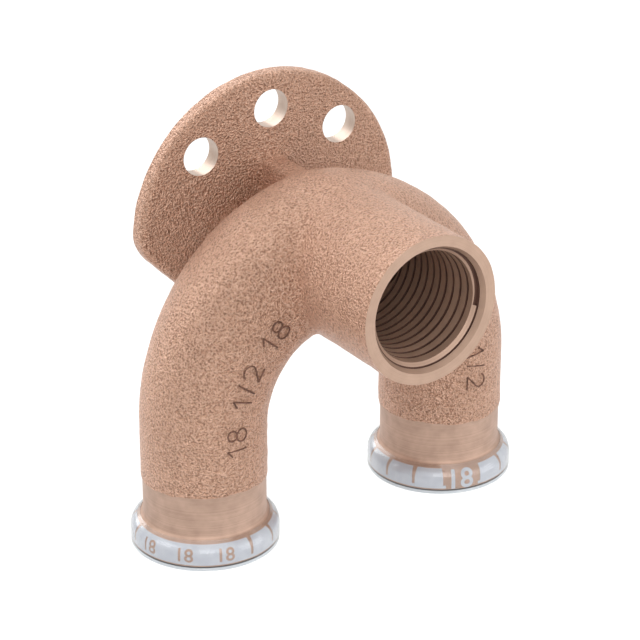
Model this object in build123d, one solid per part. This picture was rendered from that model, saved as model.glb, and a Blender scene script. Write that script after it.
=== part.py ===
from build123d import *
import math
import os

# Wall plate double elbow for pressed pipe: one bronze casting with its seals and collars.
# Lengths are in millimetres. The wall is the plane Y = 0 and the fitting stands out along -Y.
# X runs from the left leg to the right leg and Z is up. The outlet's axis is X = 0, Z = 0.

# Layout
leg_spacing = 50.0
leg_to_wall = 19.8
outlet_reach = 31.5
arch_rise = 26.8

# Arch of cast pipe, which swells from the legs to its crown
leg_radius = 11.0
crown_radius = 13.6
swell_power = 1.7
casting_wall = 2.9
sections_per_side = 6

# Threaded outlet
boss_radius = 13.05
boss_root_radius = 1.0
thread_minor_radius = 9.3155
thread_depth = 20.0
outlet_passage_radius = 8.9
mouth_radius = 11.15
mouth_throat_radius = 10.6
mouth_depth = 1.0

# Press sockets
socket_radius = 9.15
socket_depth = 20.0
socket_lead_in = 0.4
stop_land = 1.6

# Machined necks and press beads, with heights above the mouth of the leg
neck_radius = 10.75
neck_top_height = 12.5
neck_step_length = 1.2
bead_radius = 12.85
bead_flare_height = 5.05
bead_flare_length = 1.65
bead_root_radius = 1.25
bead_shoulder_radius = 2.1
bead_edge_chamfer = 0.4

# Seal rings and their grooves
seal_section_radius = 1.2
seal_height = 2.2
seal_side_clearance = 0.05

# Press indicator collars
collar_thickness = 0.15
collar_height = 4.3
collar_lip = 0.25
slot_width = 0.5
slot_foot_height = 1.4
left_plain_field_start = 169.5
left_plain_field_span = 107.5
left_segments = 10
right_window_start = 239.4
right_window_span = 29.5
right_segments = 13

# Wall plate
plate_radius = 26.5
plate_thickness = 3.0
plate_edge_radius = 1.25
plate_corner_distance = 19.75
plate_corner_radius = 2.0
plate_foot_drop = 14.0
screw_hole_radius = 3.45
screw_circle_radius = 20.2
screw_hole_angles = (45.0, 90.0, 135.0)

# Cross-shaped neck between the plate and the arch
rib_thickness = 4.6
upright_rib_half_height = 11.0
level_rib_half_width = 11.2
rib_crotch_radius = 1.0
rib_root_radius = 0.9

# Places worked out from the sizes
half_spacing = leg_spacing / 2
arch_y = -leg_to_wall
outlet_face_y = arch_y - outlet_reach
spring_z = -arch_rise
stop_z = spring_z - stop_land
mouth_z = stop_z - socket_depth
seal_z = mouth_z + seal_height
groove_half_width = seal_section_radius + seal_side_clearance
seal_ring_radius = socket_radius + groove_half_width


def arch_section(turn, inset):
    """One round section of the arch, square to its centre line and with its seam on the inside."""
    steps = 60
    lengths = [0.0]
    for step in range(steps):
        middle = (step + 0.5) * math.pi / 2 / steps
        lengths.append(lengths[-1] + math.hypot(half_spacing * math.sin(middle), arch_rise * math.cos(middle)))
    reached = min(turn, math.pi - turn) / (math.pi / 2) * steps
    share = lengths[round(reached)] / lengths[-1]
    radius = leg_radius + (crown_radius - leg_radius) * share**swell_power - inset
    place = Plane(
        origin=(half_spacing * math.cos(turn), arch_y, spring_z + arch_rise * math.sin(turn)),
        x_dir=(-arch_rise * math.cos(turn), 0, -half_spacing * math.sin(turn)),
        z_dir=(-half_spacing * math.sin(turn), 0, arch_rise * math.cos(turn)),
    )
    return place * Circle(radius)


def arch_pipe(inset):
    """The bend over half an ellipse from the right leg to the left one, lofted through sections."""
    count = 2 * sections_per_side
    return loft([arch_section(math.pi * index / count, inset) for index in range(count + 1)])


def leg_face():
    """Half section of a leg without its bore: cast pipe, machined neck, flare and crown."""
    outline = FilletPolyline(
        (0, spring_z),
        (leg_radius, spring_z),
        (leg_radius, mouth_z + neck_top_height),
        (neck_radius, mouth_z + neck_top_height - neck_step_length),
        (neck_radius, mouth_z + bead_flare_height),
        (bead_radius, mouth_z + bead_flare_height - bead_flare_length),
        (bead_radius, mouth_z + bead_edge_chamfer),
        (bead_radius - bead_edge_chamfer, mouth_z),
        (0, mouth_z),
        radius=(0, 0, 0, 0, bead_root_radius, bead_shoulder_radius, 0, 0, 0),
        close=True,
    )
    return Plane.XZ * make_face(outline)


def bore_face():
    """Half section of the space in a leg: waterway, pipe stop, socket and seal groove."""
    bore = make_face(
        Polyline(
            (0, spring_z),
            (leg_radius - casting_wall, spring_z),
            (leg_radius - casting_wall, stop_z),
            (socket_radius, stop_z),
            (socket_radius, mouth_z + socket_lead_in),
            (socket_radius + socket_lead_in, mouth_z),
            (0, mouth_z),
            close=True,
        )
    )
    groove = Pos(seal_ring_radius, seal_z) * Circle(groove_half_width)
    groove_mouth = Pos(seal_ring_radius - groove_half_width, seal_z) * Rectangle(
        2 * groove_half_width, 2 * groove_half_width
    )
    return Plane.XZ * (bore + groove + groove_mouth)


def collar(plain_start, plain_span, segments, plain_is_open):
    """Thin collar that follows the bead and hangs a little below it, slotted from its upper edge."""
    bead = leg_face()
    skin = offset(bead, amount=collar_thickness) - bead
    height = collar_height - bead_edge_chamfer
    cover = Plane.XZ * Pos(bead_radius, mouth_z + bead_edge_chamfer + height / 2) * Rectangle(
        2 * (bead_radius - neck_radius), height
    )
    lip_height = collar_lip + bead_edge_chamfer
    lip = Plane.XZ * Pos(bead_radius + collar_thickness / 2, mouth_z - collar_lip + lip_height / 2) * Rectangle(
        collar_thickness, lip_height
    )
    ring = revolve((skin & cover) + lip, Axis.Z)
    slot_height = collar_height - slot_foot_height
    slot = Pos(bead_radius, 0, mouth_z + slot_foot_height + slot_height) * Box(
        bead_radius, slot_width, 2 * slot_height
    )
    first = plain_start + plain_span
    pitch = (360 - plain_span) / segments
    for index in range(segments + 1):
        ring -= Rot(0, 0, first + index * pitch) * slot
    if plain_is_open:
        window = Plane.XZ * Pos(bead_radius, mouth_z + slot_foot_height + slot_height) * Rectangle(
            bead_radius, 2 * slot_height
        )
        ring -= Rot(0, 0, plain_start) * revolve(window, Axis.Z, revolution_arc=plain_span)
    return ring


def wall_plate():
    """Round plate with two corners cut at 45 degrees, a flat foot and a rounded front edge."""
    foot_half_width = plate_corner_distance * math.sqrt(2) - plate_foot_drop
    side = foot_half_width + plate_radius
    limits = Polygon(
        (-foot_half_width, -plate_foot_drop),
        (foot_half_width, -plate_foot_drop),
        (side, plate_radius - plate_foot_drop),
        (side, side),
        (-side, side),
        (-side, plate_radius - plate_foot_drop),
        align=None,
    )
    outline = Circle(plate_radius) & limits
    outline = fillet(outline.vertices(), plate_corner_radius)
    plate = extrude(Plane.XZ * outline, plate_thickness)
    front = plate.faces().sort_by(Axis.Y)[0]
    return fillet(front.outer_wire().edges(), plate_edge_radius)


def cross_neck():
    """Upright and level ribs that join the plate to the back of the arch."""
    upright = Rectangle(rib_thickness, 2 * upright_rib_half_height)
    level = Rectangle(2 * level_rib_half_width, rib_thickness)
    cross = upright + level
    crotches = [
        corner
        for corner in cross.vertices()
        if abs(corner.X) < rib_thickness and abs(corner.Y) < rib_thickness
    ]
    cross = fillet(crotches, rib_crotch_radius)
    return Plane.XZ * Pos(0, 0, plate_thickness) * extrude(cross, leg_to_wall - plate_thickness)


def screw_holes():
    """The three screw holes through the plate, on one circle about the outlet's axis."""
    hole = Cylinder(screw_hole_radius, 3 * plate_thickness)
    places = [
        Pos(screw_circle_radius * math.cos(math.radians(a)), screw_circle_radius * math.sin(math.radians(a)))
        for a in screw_hole_angles
    ]
    return [Plane.XZ * place * hole for place in places]


def outlet_bore():
    """The space in the outlet: countersunk mouth, tapping bore and the passage to the arch."""
    bore = make_face(
        Polyline(
            (0, 0),
            (0, outlet_reach),
            (mouth_radius, outlet_reach),
            (mouth_throat_radius, outlet_reach - mouth_depth),
            (thread_minor_radius, outlet_reach - mouth_depth - (mouth_throat_radius - thread_minor_radius)),
            (thread_minor_radius, outlet_reach - thread_depth),
            (outlet_passage_radius, outlet_reach - thread_depth),
            (outlet_passage_radius, 0),
            close=True,
        )
    )
    return Pos(0, arch_y, 0) * Rot(90, 0, 0) * revolve(Plane.XZ * bore, Axis.Z)


def plate_with_neck():
    """Plate and neck in one, rounded where the ribs leave the plate."""
    plate = wall_plate() + cross_neck()
    reach = max(level_rib_half_width, upright_rib_half_height) + rib_root_radius
    roots = [
        edge
        for edge in plate.edges().filter_by_position(Axis.Y, -plate_thickness, -plate_thickness)
        if max(abs(edge.center().X), abs(edge.center().Z)) < reach
    ]
    return fillet(roots, rib_root_radius)


def creases(body, nearest_y, farthest_y, half_width, half_height):
    """Curved edges between two depths and no farther from the outlet's axis than stated."""
    found = []
    for edge in body.edges():
        middle = edge @ 0.5
        curved = edge.geom_type not in (GeomType.LINE, GeomType.CIRCLE)
        within = abs(middle.X) <= half_width and abs(middle.Z) <= half_height
        if curved and within and nearest_y < middle.Y < farthest_y:
            found.append(edge)
    return found


def casting():
    """The one-piece casting, machined at its outlet, necks, sockets and screw holes."""
    boss = Plane.XZ.offset(leg_to_wall) * extrude(Circle(boss_radius), outlet_reach)
    body = arch_pipe(0) + boss
    edge_room = 0.05
    reach = boss_radius + edge_room
    body = fillet(creases(body, outlet_face_y, arch_y, reach, reach), boss_root_radius)
    body += plate_with_neck()
    neck_start_y = -plate_thickness - rib_root_radius - edge_room
    half_width = level_rib_half_width + edge_room
    half_height = upright_rib_half_height + edge_room
    body = fillet(creases(body, arch_y, neck_start_y, half_width, half_height), rib_root_radius)
    leg = revolve(leg_face(), Axis.Z)
    for side in (-half_spacing, half_spacing):
        body += Pos(side, arch_y, 0) * leg
    body -= arch_pipe(casting_wall)
    for side in (-half_spacing, half_spacing):
        body -= Pos(side, arch_y, 0) * revolve(bore_face(), Axis.Z)
    body -= outlet_bore()
    for hole in screw_holes():
        body -= hole
    return body


seal_ring = Torus(seal_ring_radius, seal_section_radius)
nodes = {
    "cast_body": casting(),
    "left_seal_ring": Pos(-half_spacing, arch_y, seal_z) * seal_ring,
    "right_seal_ring": Pos(half_spacing, arch_y, seal_z) * seal_ring,
    "left_press_indicator": Pos(-half_spacing, arch_y, 0)
    * collar(left_plain_field_start, left_plain_field_span, left_segments, False),
    "right_press_indicator": Pos(half_spacing, arch_y, 0)
    * collar(right_window_start, right_window_span, right_segments, True),
}

os.makedirs("parts", exist_ok=True)
for name, solid in nodes.items():
    export_step(solid, f"parts/{name}.step")
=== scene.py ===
import math

import bmesh
import bpy
import numpy as np
from mathutils import Matrix, Vector


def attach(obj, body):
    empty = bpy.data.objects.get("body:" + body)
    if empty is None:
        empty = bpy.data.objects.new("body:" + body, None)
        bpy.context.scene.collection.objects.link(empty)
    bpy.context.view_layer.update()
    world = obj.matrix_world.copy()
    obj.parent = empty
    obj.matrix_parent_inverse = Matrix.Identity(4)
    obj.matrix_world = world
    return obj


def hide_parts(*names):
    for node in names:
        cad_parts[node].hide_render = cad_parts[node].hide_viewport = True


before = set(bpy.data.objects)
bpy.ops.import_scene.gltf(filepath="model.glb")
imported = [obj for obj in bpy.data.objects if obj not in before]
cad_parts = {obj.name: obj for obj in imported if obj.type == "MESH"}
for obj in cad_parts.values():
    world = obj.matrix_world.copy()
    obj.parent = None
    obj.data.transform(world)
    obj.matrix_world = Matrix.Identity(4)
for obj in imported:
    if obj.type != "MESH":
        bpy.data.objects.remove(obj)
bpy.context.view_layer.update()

# Wall plate double elbow in cast bronze. Lengths are in millimetres until a piece is finished.
# The wall is the plane Y = 0, X runs from the left leg to the right leg and Z is up.
MILLIMETRE = 0.001

# Layout
LEG_SPACING = 50.0
LEG_TO_WALL = 19.8
OUTLET_REACH = 31.5
ARCH_RISE = 26.8

# Arch and legs
LEG_RADIUS = 11.0
CROWN_RADIUS = 13.6
SWELL_POWER = 1.7
CASTING_WALL = 2.9

# Outlet
BOSS_RADIUS = 13.05
BOSS_ROOT_RADIUS = 1.0
MOUTH_RADIUS = 11.15
THROAT_RADIUS = 10.6
MOUTH_DEPTH = 1.0
THREAD_MINOR_RADIUS = 9.3155
THREAD_MAJOR_RADIUS = 10.4775
THREAD_PITCH = 1.814
THREAD_ENTRY_RADIUS = 9.82
THREAD_ENTRY_DEPTH = 1.88
THREAD_TAPER_END = 8.0
THREAD_RUNOUT_DEPTH = 24.0
THREAD_LAST_GAP_DEPTH = 21.6
RELIEF_WIDTH = 0.26
RELIEF_RADIUS = 10.75
THREAD_GAP_WIDTH = 0.54
THREAD_ROOT_WIDTH = 0.36
THREAD_FIRST_GAP = 3.155
THREAD_LEAD_OUT = 200.0
THREAD_START_ANGLE = 348.0
THREAD_START_SWING = 125.0
THREAD_START_EDGE = 1.69
THREAD_START_FRONT = MOUTH_DEPTH - 0.03
THREAD_START_LEAST = 0.02
CUTTER_CLEARANCE = 0.4

# Sockets, necks and beads, with heights above the mouth of the leg
SOCKET_RADIUS = 9.15
SOCKET_DEPTH = 20.0
SOCKET_LEAD_IN = 0.4
STOP_LAND = 1.6
NECK_RADIUS = 10.75
NECK_TOP_HEIGHT = 12.5
NECK_STEP_LENGTH = 1.2
BEAD_RADIUS = 12.85
BEAD_FLARE_HEIGHT = 5.05
BEAD_FLARE_LENGTH = 1.65
BEAD_ROOT_RADIUS = 1.25
BEAD_SHOULDER_RADIUS = 2.1
BEAD_EDGE_CHAMFER = 0.4
SEAL_SECTION_RADIUS = 1.2
SEAL_HEIGHT = 2.2
SEAL_SIDE_CLEARANCE = 0.05

# Wall plate and the cross-shaped neck behind the arch
PLATE_RADIUS = 26.5
PLATE_THICKNESS = 3.0
PLATE_EDGE_RADIUS = 1.25
PLATE_CORNER_DISTANCE = 19.75
PLATE_CORNER_RADIUS = 2.0
PLATE_FOOT_DROP = 14.0
SCREW_HOLE_RADIUS = 3.45
SCREW_CIRCLE_RADIUS = 20.2
SCREW_HOLE_ANGLES = (45.0, 90.0, 135.0)
RIB_THICKNESS = 4.6
UPRIGHT_RIB_HALF_HEIGHT = 11.0
LEVEL_RIB_HALF_WIDTH = 11.2
RIB_EDGE_RADIUS = 0.5
RIB_CROTCH_RADIUS = 1.0
RIB_ROOT_RADIUS = 0.9

# Size numbers: pipe size on the left leg and thread size on both
LEFT_NUMBERS = "18 1/2 18"
LEFT_NUMBERS_MIDDLE = 11.5
RIGHT_NUMBERS = "1/2"
RIGHT_NUMBERS_MIDDLE = 0.9
NUMBER_HEIGHT = 3.7
NUMBER_SPREAD = 1.15
NUMBER_STROKE = 0.32
NUMBER_SIDES = 8

# Press indicators, with heights above the mouth of the leg
COLLAR_THICKNESS = 0.15
COLLAR_TOP_HEIGHT = 4.7
COLLAR_LIP = 0.25
LIP_GAP = 0.02
PRINT_LOW = COLLAR_THICKNESS * 0.12
PRINT_HIGH = COLLAR_THICKNESS * 0.45
FILM_LOW = COLLAR_THICKNESS * 0.6
# Heights above the mouth of a ring of painted shade along the film's lower edge
SHADE_LINE_TOP = 0.56
SHADE_LINE_FOOT = 0.32
PRINT_TOP_HEIGHT = 4.25
PRINT_FOOT_HEIGHT = 0.80
SLIT_FOOT_HEIGHT = 1.40
SLIT_TOP_WIDTH = 0.85
SLIT_FOOT_WIDTH = 0.5
LEFT_FIELD_START = 169.5
LEFT_FIELD_SPAN = 107.5
LEFT_SEGMENTS = 10
RIGHT_WINDOW_START = 239.4
RIGHT_WINDOW_SPAN = 29.5
RIGHT_SEGMENTS = 13
PRINT_COLUMN_ANGLE = 2.5
PRINT_NUMBER = "18"
FIELD_NUMBER_SHARES = (0.2, 0.5, 0.8)
FIELD_NUMBER_HEIGHT = 2.5
WINDOW_NUMBER_HEIGHT = 3.8
NUMBER_BOLDNESS = 0.018
NUMBER_LONGEST_EDGE = 0.12
NUMBER_CUT_LOW = -0.2
NUMBER_CUT_HIGH = 0.3

# Places worked out from the sizes
HALF_SPACING = LEG_SPACING / 2
ARCH_Y = -LEG_TO_WALL
FACE_Y = ARCH_Y - OUTLET_REACH
SPRING_Z = -ARCH_RISE
STOP_Z = SPRING_Z - STOP_LAND
MOUTH_Z = STOP_Z - SOCKET_DEPTH
SEAL_Z = MOUTH_Z + SEAL_HEIGHT
GROOVE_HALF_WIDTH = SEAL_SECTION_RADIUS + SEAL_SIDE_CLEARANCE
SEAL_RING_RADIUS = SOCKET_RADIUS + GROOVE_HALF_WIDTH

# Stock that the cutting tools turn away
STOCK = 1.0
BEAD_BLANK_RADIUS = BEAD_RADIUS + 0.6
BEAD_BLANK_TOP = MOUTH_Z + 10.4
NECK_RUNOUT = STOCK * 0.35

# Material slots of the casting
# Two slots are painted shade: dark bronze on the raised numbers, and near-black bronze in the thread's
# grooves, its start and the relief groove at the mouth
CAST_SKIN, TURNED_OUTLET, TURNED_LEG, CAST_INSIDE, DRILLED_HOLE, NUMBER_SHADE, GROOVE_SHADE = range(7)

# Unevenness of the cast skin, as (height, distance between lumps)
SKIN_SEED = 18
SKIN_LUMPS = ((0.045, 1.3), (0.05, 2.6), (0.08, 8.0))

# Detail of the meshes
SKIN_CELL = 0.56
RELAX_ROUNDS = 4
RELAX_SHARE = 0.6
RING_STEPS = 128
HOLE_STEPS = 64
PLATE_BACK_STEPS = 32
WATERWAY_BENDS = 48
WATERWAY_SIDES = 64
THREAD_STEPS_PER_TURN = 90
SKIN_SMOOTH_ANGLE = 50.0
TURNED_SMOOTH_ANGLE = 12.5

# Floor, light and camera, with lamps as (name, place, size in metres, power in watts)
FLOOR_SIZE = 3000.0
FLOOR_Z = -190.0
FLOOR_GREY = 0.6
FLOOR_GLOW = 0.6
WORLD_STRENGTH = 0.29
LAMP_TARGET = (0.0, -20.0, -15.0)
LAMPS = (
    ("back", (0, 700, 450), 0.7, 4.2),
    ("left_high", (-650, 100, 450), 0.4, 1.45),
    ("left_front", (-350, -750, 350), 0.5, 1.95),
    ("right_front", (420, -520, 60), 0.5, 1.15),
    ("top_front", (-100, -450, 750), 0.5, 0.75),
)
CAMERA_PLACE = (-246.38, -390.13, 192.41)
CAMERA_AZIMUTH = -33.533
CAMERA_ELEVATION = 24.875
CAMERA_ROLL = -0.065
CAMERA_LENS = 158.46
CAMERA_SENSOR = 36.0
CAMERA_NEAR = 0.01
CAMERA_FAR = 100.0


# Centre line of the arch

TURNS = np.linspace(0.0, math.pi / 2, 181)
MIDDLES = (TURNS[1:] + TURNS[:-1]) / 2
STRETCH = np.hypot(HALF_SPACING * np.sin(MIDDLES), ARCH_RISE * np.cos(MIDDLES))
ARC_LENGTHS = np.concatenate([[0.0], np.cumsum(STRETCH * (TURNS[1] - TURNS[0]))])
ARCH_RADII = LEG_RADIUS + (CROWN_RADIUS - LEG_RADIUS) * (ARC_LENGTHS / ARC_LENGTHS[-1]) ** SWELL_POWER


def nearest_on_arch(across, rise):
    """Cosine and sine of the ellipse angle nearest to each point, where both coordinates are positive."""
    cosine = np.full_like(across, math.sqrt(0.5))
    sine = cosine.copy()
    spread = HALF_SPACING**2 - ARCH_RISE**2
    for _ in range(5):
        centre_x = spread * cosine**3 / HALF_SPACING
        centre_z = -spread * sine**3 / ARCH_RISE
        radius = np.hypot(HALF_SPACING * cosine - centre_x, ARCH_RISE * sine - centre_z)
        gap_x = across - centre_x
        gap_z = rise - centre_z
        gap = np.maximum(np.hypot(gap_x, gap_z), 1e-9)
        cosine = np.clip((gap_x * radius / gap + centre_x) / HALF_SPACING, 0, 1)
        sine = np.clip((gap_z * radius / gap + centre_z) / ARCH_RISE, 0, 1)
        size = np.hypot(cosine, sine)
        cosine = cosine / size
        sine = sine / size
    return cosine, sine


def round_union(first, second, radius):
    """Union of two fields with a fillet of that radius where they meet."""
    inner = np.hypot(np.maximum(radius - first, 0), np.maximum(radius - second, 0))
    return np.maximum(radius, np.minimum(first, second)) - inner


def round_corner(radius, *fields):
    """Intersection of fields with its outer corners rounded to that radius."""
    lifted = [field + radius for field in fields]
    outside = np.sqrt(sum(np.maximum(field, 0) ** 2 for field in lifted))
    inside = np.minimum(np.maximum.reduce(lifted), 0)
    return outside + inside - radius


def arch_field(x, y, z):
    """The cast pipe: half an ellipse that swells to its crown, on two straight legs."""
    across = np.abs(x)
    rise = np.maximum(z - SPRING_Z, 0)
    cosine, sine = nearest_on_arch(across, rise)
    bent = np.hypot(across - HALF_SPACING * cosine, rise - ARCH_RISE * sine)
    sideways = np.where(z > SPRING_Z, bent, across - HALF_SPACING)
    turn = np.where(z > SPRING_Z, np.arctan2(sine, cosine), 0)
    pipe = np.hypot(sideways, y - ARCH_Y) - np.interp(turn, TURNS, ARCH_RADII)
    return np.maximum(pipe, MOUTH_Z - 2 * STOCK - z)


def bead_blank_field(x, y, z):
    """The thicker stock at the end of each leg, which is turned down to neck and bead."""
    ring = np.hypot(np.abs(x) - HALF_SPACING, y - ARCH_Y) - BEAD_BLANK_RADIUS
    return round_corner(STOCK, ring, z - BEAD_BLANK_TOP, MOUTH_Z - 2 * STOCK - z)


def boss_field(x, y, z):
    """The round boss of the outlet, a little longer than it is finished."""
    return np.maximum.reduce([np.hypot(x, z) - BOSS_RADIUS, FACE_Y - STOCK - y, y - ARCH_Y])


def plate_field(x, y, z):
    """The wall plate with two cut corners, a flat foot and a rounded front edge."""
    corners = (np.abs(x) - z) / math.sqrt(2) - PLATE_CORNER_DISTANCE
    outline = round_corner(PLATE_CORNER_RADIUS, np.hypot(x, z) - PLATE_RADIUS, corners, -z - PLATE_FOOT_DROP)
    return round_corner(PLATE_EDGE_RADIUS, outline, -PLATE_THICKNESS - y, y - 3 * STOCK)


def cross_field(x, y, z):
    """Upright and level ribs from the plate to the arch."""
    half = RIB_THICKNESS / 2
    upright = round_corner(RIB_EDGE_RADIUS, np.abs(x) - half, np.abs(z) - UPRIGHT_RIB_HALF_HEIGHT)
    level = round_corner(RIB_EDGE_RADIUS, np.abs(x) - LEVEL_RIB_HALF_WIDTH, np.abs(z) - half)
    return np.maximum.reduce([round_union(upright, level, RIB_CROTCH_RADIUS), ARCH_Y - y, y])


def skin_field(points):
    """Signed distance in millimetres to the whole casting before machining."""
    x, y, z = points[:, 0], points[:, 1], points[:, 2]
    pipe = round_union(arch_field(x, y, z), boss_field(x, y, z), BOSS_ROOT_RADIUS)
    plate = round_union(plate_field(x, y, z), cross_field(x, y, z), RIB_ROOT_RADIUS)
    body = round_union(pipe, plate, RIB_ROOT_RADIUS)
    return round_union(body, bead_blank_field(x, y, z), STOCK)


# From a field to a mesh


def surface_net(field, low, high, cell):
    """Points and quads of the zero surface of a field, one point for each grid cell that it crosses."""
    counts = np.ceil((high - low) / cell).astype(int) + 1
    axes = [low[axis] + cell * np.arange(counts[axis]) for axis in range(3)]
    grid = np.stack(np.meshgrid(*axes, indexing="ij"), axis=-1).reshape(-1, 3)
    values = field(grid).reshape(counts)
    sums = np.zeros(tuple(counts) + (3,))
    hits = np.zeros(counts, int)
    crossings = []
    for axis in range(3):
        first = np.take(values, range(counts[axis] - 1), axis)
        second = np.take(values, range(1, counts[axis]), axis)
        edges = np.argwhere((first < 0) != (second < 0))
        start = first[tuple(edges.T)]
        end = second[tuple(edges.T)]
        points = edges.astype(float)
        points[:, axis] += start / (start - end)
        ring = []
        for back_u, back_v in ((1, 1), (0, 1), (0, 0), (1, 0)):
            cells = edges.copy()
            cells[:, (axis + 1) % 3] -= back_u
            cells[:, (axis + 2) % 3] -= back_v
            np.add.at(sums, tuple(cells.T), points)
            np.add.at(hits, tuple(cells.T), 1)
            ring.append(np.ravel_multi_index(cells.T, counts))
        ring = np.stack(ring, axis=1)
        ring[start >= 0] = ring[start >= 0][:, ::-1]
        crossings.append(ring)
    used = np.flatnonzero(hits.ravel())
    index = np.zeros(hits.size, int)
    index[used] = np.arange(len(used))
    points = low + cell * sums.reshape(-1, 3)[used] / hits.ravel()[used][:, None]
    return points, index[np.concatenate(crossings)]


def field_normals(field, points, step=0.02):
    """Unit normals of a field, and how fast it grows along them."""
    columns = []
    for axis in range(3):
        offset = np.zeros(3)
        offset[axis] = step
        columns.append((field(points + offset) - field(points - offset)) / (2 * step))
    slopes = np.stack(columns, axis=1)
    growth = np.maximum(np.linalg.norm(slopes, axis=1), 1e-6)
    return slopes / growth[:, None], growth


def relax_onto(field, points, quads, rounds):
    """Evens out the spacing of the points while they stay on the surface of the field."""
    ends = np.concatenate([quads[:, [0, 1]], quads[:, [1, 2]], quads[:, [2, 3]], quads[:, [3, 0]]])
    for _ in range(rounds):
        sums = np.zeros_like(points)
        hits = np.zeros(len(points))
        np.add.at(sums, ends[:, 0], points[ends[:, 1]])
        np.add.at(sums, ends[:, 1], points[ends[:, 0]])
        np.add.at(hits, ends.ravel(), 1)
        normals, growth = field_normals(field, points)
        move = (sums / hits[:, None] - points) * RELAX_SHARE
        move -= normals * np.sum(normals * move, axis=1)[:, None]
        points = points + move
        normals, growth = field_normals(field, points)
        points = points - normals * (field(points) / growth)[:, None]
    return points


def lattice_noise(points, spacing, generator):
    """Smooth noise between -1 and 1 whose lumps are about that far apart."""
    low = points.min(axis=0) - spacing
    places = (points - low) / spacing
    cells = np.floor(places).astype(int)
    lattice = generator.uniform(-1, 1, tuple(cells.max(axis=0) + 2))
    share = places - cells
    share = share * share * (3 - 2 * share)
    total = np.zeros(len(points))
    for corner in np.ndindex(2, 2, 2):
        weight = np.prod(np.where(corner, share, 1 - share), axis=1)
        total += weight * lattice[tuple((cells + corner).T)]
    return total


# Meshes and cutting


def mesh_object(name, points, faces, material_index=0, materials=()):
    """An object in the scene from points in millimetres, with all its faces on one material slot."""
    mesh = bpy.data.meshes.new(name)
    mesh.from_pydata([tuple(point) for point in points], [], [tuple(face) for face in faces])
    for material in materials:
        mesh.materials.append(material)
    shape = bmesh.new()
    shape.from_mesh(mesh)
    bmesh.ops.recalc_face_normals(shape, faces=shape.faces)
    for face in shape.faces:
        face.material_index = material_index
    shape.to_mesh(mesh)
    shape.free()
    piece = bpy.data.objects.new(name, mesh)
    bpy.context.scene.collection.objects.link(piece)
    return piece


def combine(base, tool, operation):
    """Joins or cuts a solid with a tool, which is then removed."""
    modifier = base.modifiers.new(operation, "BOOLEAN")
    modifier.operation = operation
    modifier.solver = "MANIFOLD"
    modifier.object = tool
    graph = bpy.context.evaluated_depsgraph_get()
    result = bpy.data.meshes.new_from_object(base.evaluated_get(graph))
    base.modifiers.clear()
    old = base.data
    base.data = result
    bpy.data.meshes.remove(old)
    shape = tool.data
    bpy.data.objects.remove(tool)
    bpy.data.meshes.remove(shape)


def rounded(corners):
    """Points of an outline given as corners (radius out, height, fillet radius)."""
    points = []
    count = len(corners)
    for index, (x, z, radius) in enumerate(corners):
        corner = np.array([x, z], float)
        if radius == 0:
            points.append(corner)
            continue
        before = np.array(corners[index - 1][:2], float) - corner
        after = np.array(corners[(index + 1) % count][:2], float) - corner
        before /= np.linalg.norm(before)
        after /= np.linalg.norm(after)
        half = math.acos(np.clip(before @ after, -1, 1)) / 2
        bisector = (before + after) / np.linalg.norm(before + after)
        centre = corner + bisector * radius / math.sin(half)
        start = corner + before * radius / math.tan(half) - centre
        end = corner + after * radius / math.tan(half) - centre
        swing = math.atan2(start[0] * end[1] - start[1] * end[0], start @ end)
        steps = max(3, round(abs(swing) / math.radians(10)))
        for step in range(steps + 1):
            angle = swing * step / steps
            turned = (
                start[0] * math.cos(angle) - start[1] * math.sin(angle),
                start[0] * math.sin(angle) + start[1] * math.cos(angle),
            )
            points.append(centre + turned)
    return points


def lathe(outline, steps=RING_STEPS):
    """Points and faces of a solid of revolution about Z, from a closed outline of (radius, height)."""
    points = []
    rings = []
    for radius, height in outline:
        if radius < 1e-6:
            rings.append([len(points)] * steps)
            points.append((0.0, 0.0, height))
            continue
        rings.append(list(range(len(points), len(points) + steps)))
        for step in range(steps):
            angle = 2 * math.pi * step / steps
            points.append((radius * math.cos(angle), radius * math.sin(angle), height))
    faces = []
    for first, second in zip(rings, rings[1:] + rings[:1]):
        for step in range(steps):
            after = (step + 1) % steps
            face = [first[step], first[after], second[after], second[step]]
            face = [place for order, place in enumerate(face) if place != face[order - 1]]
            if len(face) > 2:
                faces.append(face)
    return np.array(points), faces


def along_outlet(points):
    """Turns points made about Z so that their axis points out of the outlet, from the arch."""
    return np.stack([points[:, 0], ARCH_Y - points[:, 2], points[:, 1]], axis=1)


def tube_mesh(centres, sides, ups, radii, steps):
    """Points and faces of a tube with flat ends, from centres and two unit directions for each ring."""
    angles = np.linspace(0, 2 * math.pi, steps, endpoint=False)
    points = []
    for centre, side, up, radius in zip(centres, sides, ups, radii):
        for angle in angles:
            points.append(centre + radius * (side * math.cos(angle) + up * math.sin(angle)))
    faces = []
    for ring in range(len(centres) - 1):
        for step in range(steps):
            after = (step + 1) % steps
            low = ring * steps
            faces.append((low + step, low + after, low + steps + after, low + steps + step))
    faces.append(tuple(range(steps))[::-1])
    last = (len(centres) - 1) * steps
    faces.append(tuple(range(last, last + steps)))
    return np.array(points), faces


def finish_mesh(piece, rough_slot=None):
    """Scales a finished piece to metres, smooths it and keeps its real edges sharp."""
    mesh = piece.data
    mesh.transform(Matrix.Scale(MILLIMETRE, 4))
    shape = bmesh.new()
    shape.from_mesh(mesh)
    bmesh.ops.dissolve_degenerate(shape, dist=1e-8, edges=shape.edges)
    bmesh.ops.recalc_face_normals(shape, faces=shape.faces)
    for face in shape.faces:
        face.smooth = True
    for edge in shape.edges:
        first, second = (face.material_index for face in edge.link_faces)
        limit = SKIN_SMOOTH_ANGLE if first == rough_slot else TURNED_SMOOTH_ANGLE
        edge.smooth = first == second and edge.calc_face_angle(0) < math.radians(limit)
    shape.to_mesh(mesh)
    shape.free()
    mesh.update()


# Materials


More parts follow.
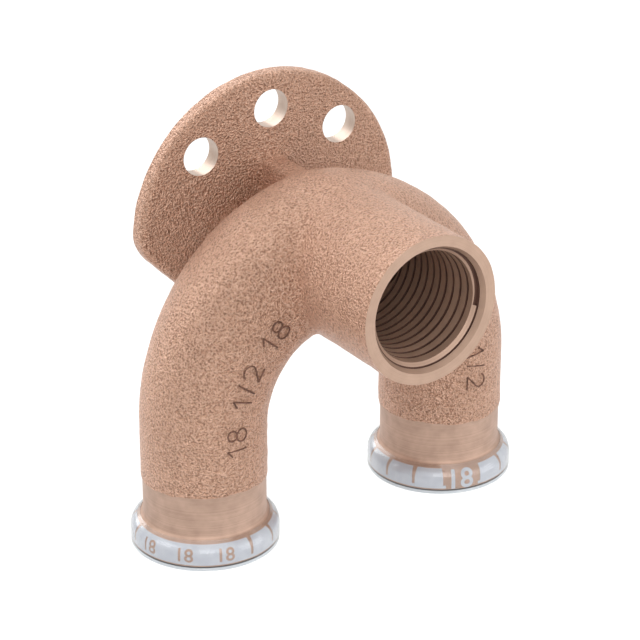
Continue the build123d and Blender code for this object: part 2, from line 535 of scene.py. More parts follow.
class Nodes:
    """A short way to build a material from nodes."""

    def __init__(self, name):
        self.material = bpy.data.materials.new(name)
        self.material.use_nodes = True
        self.tree = self.material.node_tree
        self.shader = self.tree.nodes["Principled BSDF"]
        self.coordinates = self.add("ShaderNodeTexCoord").outputs["Object"]

    def add(self, kind, **settings):
        node = self.tree.nodes.new(kind)
        for name, value in settings.items():
            setattr(node, name, value)
        return node

    def link(self, source, target):
        self.tree.links.new(source, target)

    def put(self, **values):
        """Sets sockets of the shader, with underscores for spaces in their names."""
        for name, value in values.items():
            self.shader.inputs[name.replace("_", " ")].default_value = value

    def noise(self, scale, detail=2.0):
        node = self.add("ShaderNodeTexNoise")
        node.inputs["Scale"].default_value = scale
        node.inputs["Detail"].default_value = detail
        self.link(self.coordinates, node.inputs["Vector"])
        return node.outputs["Fac"]

    def ramp(self, source, stops):
        node = self.add("ShaderNodeValToRGB")
        while len(node.color_ramp.elements) < len(stops):
            node.color_ramp.elements.new(0.5)
        for element, (place, colour) in zip(node.color_ramp.elements, stops):
            element.position = place
            element.color = (*colour, 1)
        self.link(source, node.inputs["Fac"])
        return node.outputs["Color"]

    def maths(self, operation, *values):
        node = self.add("ShaderNodeMath", operation=operation)
        for socket, value in zip(node.inputs, values):
            if isinstance(value, (int, float)):
                socket.default_value = value
            else:
                self.link(value, socket)
        return node.outputs[0]

    def blend(self, source, colour, share):
        """Blends a colour from a node towards a plain colour."""
        node = self.add("ShaderNodeMix", data_type="RGBA")
        self.link(source, node.inputs[6])
        node.inputs[7].default_value = (*colour, 1)
        self.link(share, node.inputs[0])
        return node.outputs[2]

    def bump(self, height, distance, strength):
        """Bumps the surface by a height from a node, over a distance in metres."""
        node = self.add("ShaderNodeBump")
        node.inputs["Strength"].default_value = strength
        node.inputs["Distance"].default_value = distance
        self.link(height, node.inputs["Height"])
        self.link(node.outputs["Normal"], self.shader.inputs["Normal"])

    def colour(self, source):
        self.link(source, self.shader.inputs["Base Color"])

    def clouds(self, source, dark, light):
        """Colours the surface between two tones."""
        self.colour(self.ramp(source, ((0.3, dark), (0.7, light))))


def seen_directly(tree):
    """1 for rays from the camera, mirrored rays and rays through glass, else 0."""
    path = tree.nodes.new("ShaderNodeLightPath")
    seen = path.outputs["Is Camera Ray"]
    for ray in ("Is Transmission Ray", "Is Glossy Ray"):
        either = tree.nodes.new("ShaderNodeMath")
        either.operation = "MAXIMUM"
        tree.links.new(seen, either.inputs[0])
        tree.links.new(path.outputs[ray], either.inputs[1])
        seen = either.outputs[0]
    return seen


def cast_bronze():
    """Sand-cast skin: grains of about 0.4 mm in faint patches. Their colour is part grain tone and part
    painted light: lighter on the crests as painted highlight, brown in the pits between them as painted
    shade.
    """
    nodes = Nodes("cast_bronze")
    grain = nodes.noise(2700, detail=1.5)
    lumps = nodes.noise(620, detail=1.0)
    # Grain tones follow the bump: painted shade in the pits, painted highlight on the crests
    pit_shade = (0.38, 0.19, 0.12)
    skin = (0.655, 0.375, 0.256)
    crest_highlight = (0.83, 0.525, 0.385)
    tint = nodes.ramp(grain, ((0.31, pit_shade), (0.46, skin), (0.63, crest_highlight)))
    patches = nodes.maths("MULTIPLY", nodes.noise(60), 0.35)
    nodes.colour(nodes.blend(tint, (0.70, 0.415, 0.284), patches))
    height = nodes.maths("ADD", grain, nodes.maths("MULTIPLY", lumps, 0.4))
    nodes.bump(height, 0.0011, 1.0)
    nodes.put(Metallic=0.5, Roughness=0.36)
    return nodes.material


def number_shade_bronze():
    """Painted shade on the raised numbers: a dark bronze that stands in for the shadowed sides of their thin
    strokes.
    """
    nodes = Nodes("number_shade_bronze")
    grain = nodes.noise(1500)
    nodes.colour(nodes.ramp(grain, ((0.35, (0.12, 0.055, 0.035)), (0.65, (0.24, 0.12, 0.08)))))
    nodes.bump(grain, 0.00012, 0.5)
    nodes.put(Metallic=0.3, Roughness=0.6)
    return nodes.material


def turned_bronze(name, along, light, dark, metallic, roughness):
    """Fine lines one after another along the axis X, Y or Z, or outwards from the outlet for R."""
    nodes = Nodes(name)
    split = nodes.add("ShaderNodeSeparateXYZ")
    nodes.link(nodes.coordinates, split.inputs[0])
    if along == "R":
        square_x = nodes.maths("MULTIPLY", split.outputs["X"], split.outputs["X"])
        square_z = nodes.maths("MULTIPLY", split.outputs["Z"], split.outputs["Z"])
        place = nodes.maths("SQRT", nodes.maths("ADD", square_x, square_z))
    else:
        place = split.outputs[along]
    lines = nodes.add("ShaderNodeTexNoise", noise_dimensions="1D")
    nodes.link(place, lines.inputs["W"])
    lines.inputs["Scale"].default_value = 5200
    lines.inputs["Detail"].default_value = 2.0
    lines.inputs["Roughness"].default_value = 0.6
    wander = nodes.maths("MULTIPLY", nodes.noise(420), 0.5)
    share = nodes.maths("MULTIPLY", lines.outputs["Fac"], 0.5)
    share = nodes.maths("ADD", share, wander)
    nodes.colour(nodes.ramp(share, ((0.36, dark), (0.64, light))))
    nodes.bump(lines.outputs["Fac"], 0.00002, 0.6)
    nodes.put(Metallic=metallic, Roughness=roughness)
    return nodes.material


def white_print():
    """The pale print under the film."""
    nodes = Nodes("white_print")
    cloud = nodes.noise(700)
    nodes.clouds(cloud, (0.62, 0.64, 0.70), (0.70, 0.72, 0.77))
    nodes.bump(cloud, 0.00001, 0.3)
    nodes.put(Metallic=0.0, Roughness=0.35)
    return nodes.material


def milky_lip():
    """The lip of the film below the bead, pale and a little blue."""
    nodes = Nodes("milky_lip")
    nodes.clouds(nodes.noise(500, detail=1.0), (0.72, 0.76, 0.80), (0.80, 0.83, 0.86))
    nodes.put(Metallic=0.0, Roughness=0.3)
    return nodes.material


def painted_shade_line():
    """Painted shade: a near-black line where the film leaves the bead, standing in for the shadow and dark
    reflection along the film's lower edge.
    """
    nodes = Nodes("painted_shade_line")
    nodes.clouds(nodes.noise(900, detail=1.0), (0.035, 0.028, 0.026), (0.075, 0.060, 0.055))
    nodes.put(Metallic=0.0, Roughness=0.4)
    return nodes.material


def clear_film():
    """The clear film, with faint ripples."""
    nodes = Nodes("clear_film")
    nodes.bump(nodes.noise(300, detail=1.0), 0.00001, 0.3)
    nodes.put(Base_Color=(0.97, 0.975, 0.98, 1), Roughness=0.12, IOR=1.4)
    nodes.put(Transmission_Weight=1.0, Specular_IOR_Level=0.2)
    return nodes.material


def seal_rubber():
    """The black rubber of the O-rings."""
    nodes = Nodes("seal_rubber")
    cloud = nodes.noise(900)
    nodes.clouds(cloud, (0.010, 0.010, 0.011), (0.022, 0.022, 0.023))
    nodes.bump(cloud, 0.00003, 0.4)
    nodes.put(Metallic=0.0, Roughness=0.42)
    return nodes.material


# The casting


def leg_tool():
    """Outline of what is cut away at a leg: waterway, stop, socket, groove, and all outside the bead."""
    far = BEAD_BLANK_RADIUS + 3 * STOCK
    below = MOUTH_Z - 4 * STOCK
    waterway = LEG_RADIUS - CASTING_WALL
    slope = (LEG_RADIUS - NECK_RADIUS) / NECK_STEP_LENGTH
    neck_top = MOUTH_Z + NECK_TOP_HEIGHT
    runout_top = neck_top + NECK_RUNOUT / slope
    groove_rounding = GROOVE_HALF_WIDTH * 0.98
    groove_bottom = SEAL_RING_RADIUS + GROOVE_HALF_WIDTH
    corners = [
        (0, SPRING_Z, 0),
        (waterway, SPRING_Z, 0),
        (waterway, STOP_Z, 0),
        (SOCKET_RADIUS, STOP_Z, 0),
        (SOCKET_RADIUS, SEAL_Z + GROOVE_HALF_WIDTH, 0),
        (groove_bottom, SEAL_Z + GROOVE_HALF_WIDTH, groove_rounding),
        (groove_bottom, SEAL_Z - GROOVE_HALF_WIDTH, groove_rounding),
        (SOCKET_RADIUS, SEAL_Z - GROOVE_HALF_WIDTH, 0),
        (SOCKET_RADIUS, MOUTH_Z + SOCKET_LEAD_IN, 0),
        (SOCKET_RADIUS + SOCKET_LEAD_IN, MOUTH_Z, 0),
        (BEAD_RADIUS - BEAD_EDGE_CHAMFER, MOUTH_Z, 0),
        (BEAD_RADIUS, MOUTH_Z + BEAD_EDGE_CHAMFER, 0),
        (BEAD_RADIUS, MOUTH_Z + BEAD_FLARE_HEIGHT - BEAD_FLARE_LENGTH, BEAD_SHOULDER_RADIUS),
        (NECK_RADIUS, MOUTH_Z + BEAD_FLARE_HEIGHT, BEAD_ROOT_RADIUS),
        (NECK_RADIUS, neck_top - NECK_STEP_LENGTH, 0),
        (LEG_RADIUS + NECK_RUNOUT, runout_top, 0),
        (far, runout_top, 0),
        (far, below, 0),
        (0, below, 0),
    ]
    return rounded(corners)


def cut_legs(body, materials):
    """Turns both legs and bores their sockets."""
    points, faces = lathe(leg_tool())
    for side in (-HALF_SPACING, HALF_SPACING):
        tool = mesh_object("leg_tool", points + (side, ARCH_Y, 0), faces, TURNED_LEG, materials)
        combine(body, tool, "DIFFERENCE")


def cut_waterway(body, materials):
    """The bend of the waterway, which keeps the casting's wall all the way round."""
    centres = []
    sides = []
    radii = []
    for turn in np.linspace(0, math.pi, WATERWAY_BENDS + 1):
        across = HALF_SPACING * math.cos(turn)
        centres.append(np.array([across, ARCH_Y, SPRING_Z + ARCH_RISE * math.sin(turn)]))
        normal = np.array([math.cos(turn) / HALF_SPACING, 0, math.sin(turn) / ARCH_RISE])
        sides.append(normal / np.linalg.norm(normal))
        radii.append(np.interp(min(turn, math.pi - turn), TURNS, ARCH_RADII) - CASTING_WALL)
    overlap = np.array([0, 0, STOCK / 2])
    centres = [centres[0] - overlap] + centres + [centres[-1] - overlap]
    sides = [sides[0]] + sides + [sides[-1]]
    radii = [radii[0]] + radii + [radii[-1]]
    ups = [np.array([0, 1.0, 0])] * len(centres)
    points, faces = tube_mesh(centres, sides, ups, radii, WATERWAY_SIDES)
    tool = mesh_object("waterway_tool", points, faces, CAST_INSIDE, materials)
    combine(body, tool, "DIFFERENCE")


def helix_tool(first_turn, last_turn, section):
    """A coil along the thread between two angles, whose section gives (depth, radius) for a depth."""
    steps = max(2, round((last_turn - first_turn) / 360 * THREAD_STEPS_PER_TURN))
    points = []
    for step in range(steps + 1):
        turn = first_turn + (last_turn - first_turn) * step / steps
        centre = THREAD_FIRST_GAP - THREAD_PITCH * turn / 360
        angle = math.radians(turn)
        for depth, radius in section(centre):
            points.append((radius * math.cos(angle), FACE_Y + depth, radius * math.sin(angle)))
    size = len(points) // (steps + 1)
    faces = []
    for step in range(steps):
        low = step * size
        for corner in range(size):
            after = (corner + 1) % size
            faces.append((low + corner, low + after, low + size + after, low + size + corner))
    faces.append(tuple(range(size))[::-1])
    faces.append(tuple(steps * size + corner for corner in range(size)))
    return np.array(points), faces


def groove_section(centre):
    """The narrow groove between two ridges of the thread."""
    gap = THREAD_GAP_WIDTH / 2
    root = THREAD_ROOT_WIDTH / 2
    lean = (gap - root) / (THREAD_MAJOR_RADIUS - THREAD_MINOR_RADIUS) * CUTTER_CLEARANCE
    inner = THREAD_MINOR_RADIUS - CUTTER_CLEARANCE
    return (
        (centre - gap - lean, inner),
        (centre - root, THREAD_MAJOR_RADIUS),
        (centre + root, THREAD_MAJOR_RADIUS),
        (centre + gap + lean, inner),
    )


def start_section(centre):
    """The open start of the thread, cleared from the mouth down to the first ridge."""
    front = THREAD_START_FRONT
    ridge = centre - THREAD_FIRST_GAP + THREAD_PITCH + THREAD_START_EDGE
    back = max(ridge, front + THREAD_START_LEAST)
    inner = THREAD_MINOR_RADIUS - CUTTER_CLEARANCE
    return (
        (front, inner),
        (front, THREAD_MAJOR_RADIUS),
        (back, THREAD_MAJOR_RADIUS),
        (back, inner),
    )


def cut_outlet(body, materials):
    """Faces, countersinks, bores and threads the outlet."""
    beyond = OUTLET_REACH + 4 * STOCK
    outline = [
        (0, OUTLET_REACH - THREAD_RUNOUT_DEPTH),
        (THREAD_MINOR_RADIUS, OUTLET_REACH - THREAD_RUNOUT_DEPTH),
        (THREAD_MINOR_RADIUS, OUTLET_REACH - THREAD_TAPER_END),
        (THREAD_ENTRY_RADIUS, OUTLET_REACH - THREAD_ENTRY_DEPTH),
        (THROAT_RADIUS, OUTLET_REACH - MOUTH_DEPTH),
        (MOUTH_RADIUS, OUTLET_REACH),
        (BOSS_RADIUS + 2 * STOCK, OUTLET_REACH),
        (BOSS_RADIUS + 2 * STOCK, beyond),
        (0, beyond),
    ]
    points, faces = lathe(outline)
    tool = mesh_object("outlet_tool", along_outlet(points), faces, TURNED_OUTLET, materials)
    combine(body, tool, "DIFFERENCE")
    # The relief groove, the thread's grooves and its open start take near-black bronze as painted shade
    relief = [
        (THREAD_MINOR_RADIUS, OUTLET_REACH - MOUTH_DEPTH - RELIEF_WIDTH),
        (RELIEF_RADIUS, OUTLET_REACH - MOUTH_DEPTH - RELIEF_WIDTH),
        (RELIEF_RADIUS, OUTLET_REACH - MOUTH_DEPTH),
        (THREAD_MINOR_RADIUS, OUTLET_REACH - MOUTH_DEPTH),
    ]
    points, faces = lathe(relief)
    tool = mesh_object("relief_tool", along_outlet(points), faces, GROOVE_SHADE, materials)
    combine(body, tool, "DIFFERENCE")
    deepest = (THREAD_FIRST_GAP - THREAD_LAST_GAP_DEPTH) / THREAD_PITCH * 360
    start_end = THREAD_START_ANGLE + THREAD_START_SWING
    for name, first, last, section in (
        ("groove_tool", deepest, THREAD_LEAD_OUT, groove_section),
        ("start_tool", THREAD_START_ANGLE, start_end, start_section),
    ):
        points, faces = helix_tool(first, last, section)
        combine(body, mesh_object(name, points, faces, GROOVE_SHADE, materials), "DIFFERENCE")


def on_pipe(side, along, around):
    """A point on the pipe, from distances along it from the bend's start and around it from the front."""
    turn = np.interp(along, ARC_LENGTHS, TURNS)
    height = SPRING_Z + ARCH_RISE * math.sin(turn) + min(along, 0)
    centre = np.array([side * HALF_SPACING * math.cos(turn), ARCH_Y, height])
    outward = np.array([side * math.cos(turn) / HALF_SPACING, 0, math.sin(turn) / ARCH_RISE])
    outward /= np.linalg.norm(outward)
    radius = np.interp(turn, TURNS, ARCH_RADII)
    angle = around / radius
    normal = math.cos(angle) * np.array([0, -1.0, 0]) + math.sin(angle) * outward
    return centre + radius * normal, normal


def arc_points(centre_x, centre_y, radius_x, radius_y, start, end, count):
    """Points of part of an ellipse, with angles in degrees."""
    angles = np.radians(np.linspace(start, end, count))
    return [(centre_x + radius_x * math.cos(a), centre_y + radius_y * math.sin(a)) for a in angles]


def number_strokes(text):
    """Strokes of plain upright numbers as lists of points, one unit high, and their whole width."""
    shapes = {
        "1": (0.62, [[(0.06, 0.74), (0.30, 1.0)], [(0.30, 1.0), (0.30, 0.5), (0.30, 0.0)]]),
        "2": (
            0.92,
            [
                arc_points(0.33, 0.70, 0.29, 0.30, 160, -35, 9) + [(0.30, 0.25), (0.04, 0.0)],
                [(0.04, 0.0), (0.34, 0.0), (0.66, 0.0)],
            ],
        ),
        "8": (
            0.96,
            [
                arc_points(0.34, 0.76, 0.22, 0.24, 90, 450, 13),
                arc_points(0.34, 0.27, 0.29, 0.27, 90, 450, 15),
            ],
        ),
        "/": (0.60, [[(0.10, 0.0), (0.22, 0.5), (0.34, 1.0)]]),
        " ": (0.50, []),
    }
    strokes = []
    x = 0.0
    for letter in text:
        width, lines = shapes[letter]
        strokes += [[(x + px, py) for px, py in line] for line in lines]
        x += width
    return strokes, x


def add_numbers(body, materials):
    """Thin raised size numbers along the front of both legs, as rounded beads."""
    for side, direction, text, middle in (
        (-1, 1, LEFT_NUMBERS, LEFT_NUMBERS_MIDDLE),
        (1, -1, RIGHT_NUMBERS, RIGHT_NUMBERS_MIDDLE),
    ):
        strokes, width = number_strokes(text)
        for stroke in strokes:
            places = []
            for x, y in stroke:
                along = middle + direction * (x - width / 2) * NUMBER_HEIGHT * NUMBER_SPREAD
                places.append(on_pipe(side, along, (y - 0.5) * NUMBER_HEIGHT))
            centres = np.array([centre for centre, _ in places])
            ups = np.array([normal for _, normal in places])
            headings = np.gradient(centres, axis=0)
            sides = np.cross(ups, headings)
            sides /= np.linalg.norm(sides, axis=1)[:, None]
            radii = np.full(len(centres), NUMBER_STROKE / 2)
            points, faces = tube_mesh(centres, sides, ups, radii, NUMBER_SIDES)
            # The strokes take the dark bronze of painted shade
            combine(body, mesh_object("number", points, faces, NUMBER_SHADE, materials), "UNION")


def cut_plate(body, materials):
    """Faces the back of the plate and drills its screw holes."""
    reach = PLATE_RADIUS + 4 * STOCK
    back = [(0, 0), (reach, 0), (reach, 6 * STOCK), (0, 6 * STOCK)]
    points, faces = lathe(back, PLATE_BACK_STEPS)
    tool = mesh_object("back_tool", points[:, [0, 2, 1]], faces, DRILLED_HOLE, materials)
    combine(body, tool, "DIFFERENCE")
    front = -2 * PLATE_THICKNESS
    behind = 2 * STOCK
    drill = [(0, front), (SCREW_HOLE_RADIUS, front), (SCREW_HOLE_RADIUS, behind), (0, behind)]
    points, faces = lathe(drill, HOLE_STEPS)
    for angle in SCREW_HOLE_ANGLES:
        place = (
            SCREW_CIRCLE_RADIUS * math.cos(math.radians(angle)),
            0,
            SCREW_CIRCLE_RADIUS * math.sin(math.radians(angle)),
        )
        tool = mesh_object("drill", points[:, [0, 2, 1]] + place, faces, DRILLED_HOLE, materials)
        combine(body, tool, "DIFFERENCE")


def casting(materials):
    """The whole casting with its skin, machined where the real one is."""
    margin = 3 * SKIN_CELL
    low = np.array([-HALF_SPACING - BEAD_BLANK_RADIUS, FACE_Y - STOCK, MOUTH_Z - 2 * STOCK]) - margin
    high = np.array([HALF_SPACING + BEAD_BLANK_RADIUS, 3 * STOCK, PLATE_RADIUS]) + margin
    points, quads = surface_net(skin_field, low, high, SKIN_CELL)
    points = relax_onto(skin_field, points, quads, RELAX_ROUNDS)
    normals, _ = field_normals(skin_field, points)
    generator = np.random.default_rng(SKIN_SEED)
    uneven = sum(size * lattice_noise(points, spacing, generator) for size, spacing in SKIN_LUMPS)
    points = points + normals * uneven[:, None]
    body = mesh_object("casting", points, quads, CAST_SKIN, materials)
    add_numbers(body, materials)
    cut_outlet(body, materials)
    cut_waterway(body, materials)
    cut_legs(body, materials)
    cut_plate(body, materials)
    return body


# The press indicators


def bead_profile():
    """Outline of a bead from its neck down to its lower edge, as (radius, height above the mouth)."""
    corners = [
        (NECK_RADIUS, NECK_TOP_HEIGHT, 0),
        (NECK_RADIUS, BEAD_FLARE_HEIGHT, BEAD_ROOT_RADIUS),
        (BEAD_RADIUS, BEAD_FLARE_HEIGHT - BEAD_FLARE_LENGTH, BEAD_SHOULDER_RADIUS),
        (BEAD_RADIUS, 0, 0),
    ]
    return np.array(rounded(corners))


BEAD = bead_profile()
BEAD_STEPS = np.linalg.norm(np.diff(BEAD, axis=0), axis=1)
BEAD_RUN = np.concatenate([[0.0], np.cumsum(BEAD_STEPS)])


def on_bead(run, lift):
    """Radius and height of a point at a distance down the bead's outline, lifted off it."""
    step = 0.1
    before, place, after = (
        np.array([np.interp(nearby, BEAD_RUN, BEAD[:, axis]) for axis in range(2)])
        for nearby in (run - step, run, run + step)
    )
    heading = (after - before) / np.linalg.norm(after - before)
    return place + lift * np.array([-heading[1], heading[0]])


def run_at(height):
    """Distance down the bead's outline at a height above the mouth."""
    return np.interp(-height, -BEAD[:, 1], BEAD_RUN)


def film_ring(side, name, material):
    """The clear film: a thin ring that follows the bead and hangs a little below it."""
    runs = np.linspace(run_at(COLLAR_TOP_HEIGHT), run_at(BEAD_EDGE_CHAMFER), 22)
    outer = [tuple(on_bead(run, COLLAR_THICKNESS)) for run in runs]
    inner = [tuple(on_bead(run, FILM_LOW)) for run in runs]
    outer.append((outer[-1][0], -COLLAR_LIP))
    inner.append((inner[-1][0], -COLLAR_LIP))
    points, faces = lathe(outer + inner[::-1])
    return mesh_object(name, points + (side, ARCH_Y, MOUTH_Z), faces, 0, [material])


def thin_ring(side, name, material, top, foot):
    """A thin ring under the film between two heights above the mouth, on the straight part of the bead."""
    inner = BEAD_RADIUS + PRINT_LOW
    outer = BEAD_RADIUS + PRINT_HIGH
    points, faces = lathe([(inner, top), (outer, top), (outer, foot), (inner, foot)])
    return mesh_object(name, points + (side, ARCH_Y, MOUTH_Z), faces, 0, [material])


def print_ring(side, name, material, field_start, field_span, segments, field_open):
    """The white print under the film: segments between tapered slits, and a field or an open window."""
    pitch = (360 - field_span) / segments
    slits = [field_start + field_span + index * pitch for index in range(segments + 1)]
    columns = []
    for index, slit in enumerate(slits):
        columns.append((slit, -1))
        columns.append((slit, 1))
        following = slits[index + 1] if index < segments else slits[0] + 360
        count = max(2, round((following - slit) / PRINT_COLUMN_ANGLE))
        columns += [(slit + (following - slit) * step / count, 0) for step in range(1, count)]
    upper = np.linspace(run_at(PRINT_TOP_HEIGHT), run_at(SLIT_FOOT_HEIGHT), 13)
    lower = np.linspace(run_at(SLIT_FOOT_HEIGHT), run_at(PRINT_FOOT_HEIGHT), 4)[1:]
    runs = np.concatenate([upper, lower])
    last_slit_row = len(upper) - 1
    points = []
    for slit, sign in columns:
        for row, run in enumerate(runs):
            share = np.clip(1 - row / last_slit_row, 0, 1)
            width = SLIT_FOOT_WIDTH + (SLIT_TOP_WIDTH - SLIT_FOOT_WIDTH) * share**2
            for lift in (PRINT_LOW, PRINT_HIGH):
                radius, height = on_bead(run, lift)
                angle = math.radians(slit) + sign * width / 2 / radius
                points.append((radius * math.cos(angle), radius * math.sin(angle), height))
    rows = len(runs)
    count = len(columns)
    field_column = columns.index((slits[-1], 1))

    def corner(column, row, outer):
        """Index of a point of the ring, on its inner face for 0 or its outer face for 1."""
        return ((column % count) * rows + row) * 2 + outer

    def present(column, row):
        """True where there is print between a column and a row and the next ones."""
        if not 0 <= row < rows - 1:
            return False
        if field_open and column % count >= field_column:
            return False
        _, sign = columns[column % count]
        return not (sign == -1 and row < last_slit_row)

    faces = []
    for column in range(count):
        for row in range(rows - 1):
            if not present(column, row):
                continue
            for outer in (0, 1):
                face = [
                    corner(column, row, outer),
                    corner(column, row + 1, outer),
                    corner(column + 1, row + 1, outer),
                    corner(column + 1, row, outer),
                ]
                faces.append(face if outer else face[::-1])
            for neighbour, first, second in (
                ((column - 1, row), (column, row), (column, row + 1)),
                ((column + 1, row), (column + 1, row + 1), (column + 1, row)),
                ((column, row - 1), (column + 1, row), (column, row)),
                ((column, row + 1), (column, row + 1), (column + 1, row + 1)),
            ):
                if present(*neighbour):
                    continue
                face = [corner(*first, 0), corner(*first, 1), corner(*second, 1), corner(*second, 0)]
                faces.append(face)
    used = sorted({place for face in faces for place in face})
    index = {place: order for order, place in enumerate(used)}
    faces = [[index[place] for place in face] for face in faces]
    points = np.array(points)[used] + (side, ARCH_Y, MOUTH_Z)
    return mesh_object(name, points, faces, 0, [material])


def ring_number(name, material, side, middle_angle, height, low, high):
    """A number that follows the bead half way up the print, from one distance off the bead to another."""
    curve = bpy.data.curves.new(name, "FONT")
    curve.body = PRINT_NUMBER
    curve.offset = NUMBER_BOLDNESS
    curve.resolution_u = 6
    writer = bpy.data.objects.new(name, curve)
    bpy.context.scene.collection.objects.link(writer)
    graph = bpy.context.evaluated_depsgraph_get()
    mesh = bpy.data.meshes.new_from_object(writer.evaluated_get(graph))
    bpy.data.objects.remove(writer)
    shape = bmesh.new()
    shape.from_mesh(mesh)
    bmesh.ops.remove_doubles(shape, verts=shape.verts, dist=1e-5)
    bmesh.ops.triangulate(shape, faces=shape.faces)
    for _ in range(2):
        long_edges = [edge for edge in shape.edges if edge.calc_length() > NUMBER_LONGEST_EDGE]
        bmesh.ops.subdivide_edges(shape, edges=long_edges, cuts=1)
        bmesh.ops.triangulate(shape, faces=shape.faces)
    base = list(shape.faces)
    copied = bmesh.ops.extrude_face_region(shape, geom=base, use_keep_orig=True)
    raised = {item for item in copied["geom"] if isinstance(item, bmesh.types.BMVert)}
    places = np.array([vertex.co for vertex in shape.verts])
    bottom, top = places.min(axis=0), places.max(axis=0)
    scale = height / (top[1] - bottom[1])
    middle_run = run_at((PRINT_TOP_HEIGHT + PRINT_FOOT_HEIGHT) / 2)
    for vertex in shape.verts:
        x = (vertex.co.x - (bottom[0] + top[0]) / 2) * scale
        y = (vertex.co.y - (bottom[1] + top[1]) / 2) * scale
        radius, level = on_bead(middle_run - y, high if vertex in raised else low)
        angle = math.radians(middle_angle) + x / BEAD_RADIUS
        vertex.co = (side + radius * math.cos(angle), ARCH_Y + radius * math.sin(angle), MOUTH_Z + level)
    bmesh.ops.recalc_face_normals(shape, faces=shape.faces)
    shape.to_mesh(mesh)
    shape.free()
    mesh.materials.clear()
    mesh.materials.append(material)
    piece = bpy.data.objects.new(name, mesh)
    bpy.context.scene.collection.objects.link(piece)
    return piece


# Everything in its place

casting_materials = [
    cast_bronze(),
    turned_bronze("turned_outlet", "R", (0.61, 0.409, 0.302), (0.528, 0.347, 0.253), 0.35, 0.42),
    turned_bronze("turned_leg", "Z", (0.647, 0.439, 0.338), (0.486, 0.319, 0.237), 0.4, 0.5),
    turned_bronze("cast_inside", "Y", (0.34, 0.19, 0.13), (0.24, 0.13, 0.09), 0.3, 0.6),
    turned_bronze("drilled_hole", "Y", (0.688, 0.568, 0.482), (0.568, 0.43, 0.344), 0.5, 0.4),
    # Painted shade on the raised numbers
    number_shade_bronze(),
    # Painted shade: near-black bronze in the thread's grooves, at its start and in the relief groove, where
    # shade falls inside the bore
    turned_bronze("groove_shade_bronze", "Y", (0.17, 0.082, 0.056), (0.09, 0.04, 0.028), 0.2, 0.7),
]
body = casting(casting_materials)
finish_mesh(body, CAST_SKIN)
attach(body, "root")
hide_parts("cast_body")

film = clear_film()
paper = white_print()
milk = milky_lip()
shade = painted_shade_line()
printed = {
    "left": (-HALF_SPACING, LEFT_FIELD_START, LEFT_FIELD_SPAN, LEFT_SEGMENTS, False),
    "right": (HALF_SPACING, RIGHT_WINDOW_START, RIGHT_WINDOW_SPAN, RIGHT_SEGMENTS, True),
}
for name, (side, start, span, segments, is_open) in printed.items():
    ring = print_ring(side, f"{name}_print", paper, start, span, segments, is_open)
    # A ring of painted shade below the print, along the film's lower edge
    line = thin_ring(side, f"{name}_line", shade, SHADE_LINE_TOP, SHADE_LINE_FOOT)
    lip = thin_ring(side, f"{name}_lip", milk, SHADE_LINE_FOOT, LIP_GAP - COLLAR_LIP)
    pieces = [ring, film_ring(side, f"{name}_film", film), line, lip]
    if is_open:
        middle = start + span / 2
        height = WINDOW_NUMBER_HEIGHT
        pieces.append(ring_number("window_number", paper, side, middle, height, PRINT_LOW, PRINT_HIGH))
    else:
        for share in FIELD_NUMBER_SHARES:
            middle = start + span * share
            height = FIELD_NUMBER_HEIGHT
            low, high = NUMBER_CUT_LOW, NUMBER_CUT_HIGH
            tool = ring_number("number_tool", paper, side, middle, height, low, high)
            combine(ring, tool, "DIFFERENCE")
    for piece in pieces:
        finish_mesh(piece)
        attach(piece, "root")
        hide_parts(f"{name}_press_indicator")

rubber = seal_rubber()
for node in ("left_seal_ring", "right_seal_ring"):
    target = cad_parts[node]
    target.data.materials.clear()
    target.data.materials.append(rubber)


# Floor, light and camera


def pale_floor():
    """Pale matt floor, which looks white to the camera but for the shadow on it."""
    nodes = Nodes("pale_floor")
    nodes.put(Base_Color=(FLOOR_GREY, FLOOR_GREY, FLOOR_GREY, 1), Roughness=0.9)
    nodes.put(Emission_Color=(1, 1, 1, 1))
    glow = nodes.maths("MULTIPLY", seen_directly(nodes.tree), FLOOR_GLOW)
    nodes.link(glow, nodes.shader.inputs["Emission Strength"])
    return nodes.material


def stage():
    """The floor, which isn't part of the object."""
    signs = ((-1, -1), (1, -1), (1, 1), (-1, 1))
    corners = [(x * FLOOR_SIZE, y * FLOOR_SIZE, FLOOR_Z) for x, y in signs]
    floor = mesh_object("floor", corners, [(0, 1, 2, 3)], 0, [pale_floor()])
    floor.data.transform(Matrix.Scale(MILLIMETRE, 4))


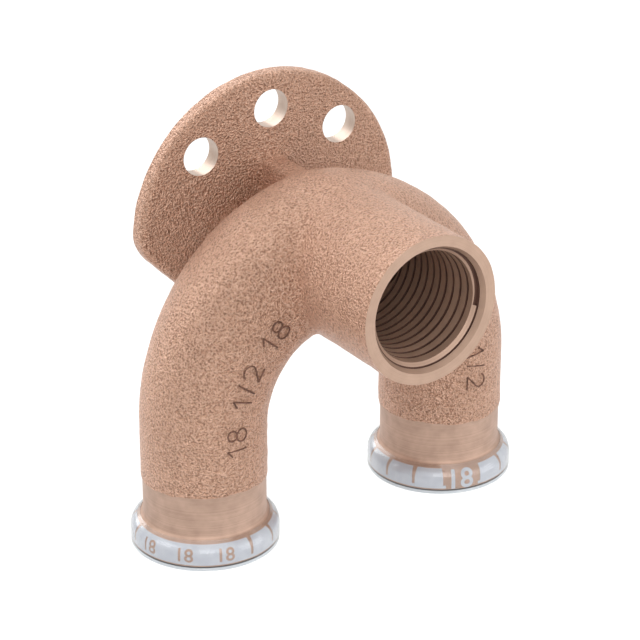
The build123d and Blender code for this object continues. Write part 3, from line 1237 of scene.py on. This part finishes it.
def world_light():
    """Even light from all round, which is plain white where it is seen."""
    world = bpy.data.worlds.new("studio")
    bpy.context.scene.world = world
    world.use_nodes = True
    tree = world.node_tree
    background = tree.nodes["Background"]
    background.inputs["Color"].default_value = (1, 1, 1, 1)
    level = tree.nodes.new("ShaderNodeMapRange")
    level.inputs["To Min"].default_value = WORLD_STRENGTH
    level.inputs["To Max"].default_value = 1.0
    tree.links.new(seen_directly(tree), level.inputs["Value"])
    tree.links.new(level.outputs["Result"], background.inputs["Strength"])


def area_light(name, place, size, power):
    """A square lamp that points at the middle of the object."""
    lamp = bpy.data.lights.new(name, "AREA")
    lamp.shape = "SQUARE"
    lamp.size = size
    lamp.energy = power
    holder = bpy.data.objects.new(name, lamp)
    bpy.context.scene.collection.objects.link(holder)
    back = (np.array(place, float) - LAMP_TARGET) * MILLIMETRE
    holder.rotation_euler = Vector(back).to_track_quat("Z", "Y").to_euler()
    holder.location = np.array(place) * MILLIMETRE


def camera():
    """The camera at the photograph's place, with its long lens."""
    azimuth = math.radians(CAMERA_AZIMUTH)
    elevation = math.radians(CAMERA_ELEVATION)
    roll = math.radians(CAMERA_ROLL)
    flat = math.cos(elevation)
    back = np.array([math.sin(azimuth) * flat, -math.cos(azimuth) * flat, math.sin(elevation)])
    level = np.array([math.cos(azimuth), math.sin(azimuth), 0])
    upright = np.cross(back, level)
    right = math.cos(roll) * level + math.sin(roll) * upright
    up = math.cos(roll) * upright - math.sin(roll) * level
    data = bpy.data.cameras.new("camera")
    data.sensor_width = CAMERA_SENSOR
    data.lens = CAMERA_LENS
    data.clip_start = CAMERA_NEAR
    data.clip_end = CAMERA_FAR
    holder = bpy.data.objects.new("camera", data)
    bpy.context.scene.collection.objects.link(holder)
    matrix = Matrix.Identity(4)
    for row in range(3):
        matrix[row][0] = right[row]
        matrix[row][1] = up[row]
        matrix[row][2] = back[row]
        matrix[row][3] = CAMERA_PLACE[row] * MILLIMETRE
    holder.matrix_world = matrix
    bpy.context.scene.camera = holder


stage()
world_light()
for name, place, size, power in LAMPS:
    area_light(name, place, size, power)
camera()
bpy.context.scene.view_settings.view_transform = "Standard"
